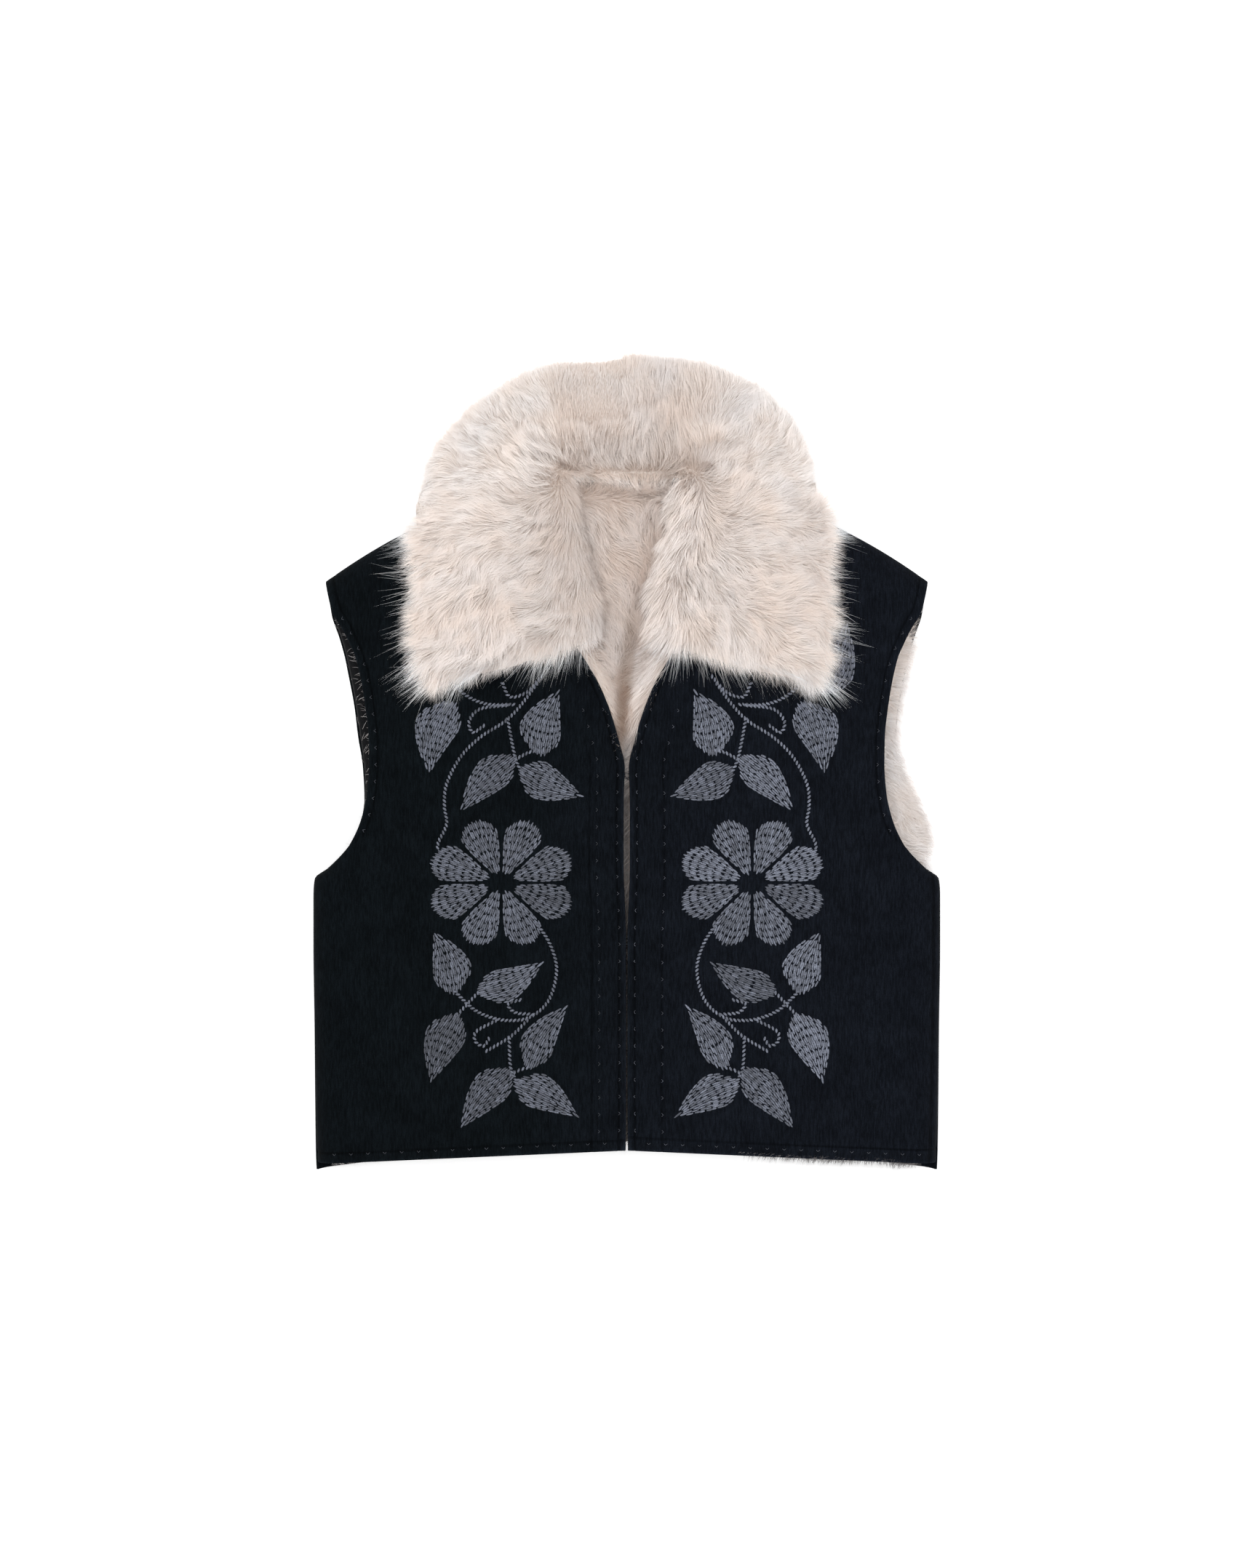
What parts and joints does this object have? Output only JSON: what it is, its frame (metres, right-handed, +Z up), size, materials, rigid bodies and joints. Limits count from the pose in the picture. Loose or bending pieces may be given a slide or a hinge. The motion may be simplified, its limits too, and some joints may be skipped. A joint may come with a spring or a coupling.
{
  "type": "fur vest",
  "caption": "Cropped sleeveless vest of dark felted cloth, fur lined, with a wide fur collar folded down over both fronts, laid flat on its back.",
  "frame": {"origin": "middle of the vest's outline, on the surface it lies on", "axes": "+X to the wearer's left, +Y from the hem to the collar, +Z up from the surface; the underside of the back is at Z 0"},
  "size_m": [0.504, 0.6515, 0.0592],
  "materials": {
    "cloth": "near-black felted cloth with a short upright nap",
    "lining_fur": "long cream pile, greyer where it lies in shadow",
    "collar_fur": "long soft cream pile with a faint pink cast",
    "hooks": "black enamelled wire"
  },
  "bodies": {
    "root": {"back": "cloth", "back_lining": "lining_fur", "front_right": "cloth", "front_left": "cloth", "front_lining_right": "lining_fur", "front_lining_left": "lining_fur", "under_collar": "cloth", "collar": "collar_fur", "hook_1": "hooks", "hook_2": "hooks", "eye_1": "hooks", "eye_2": "hooks"}
  },
  "joints": []
}
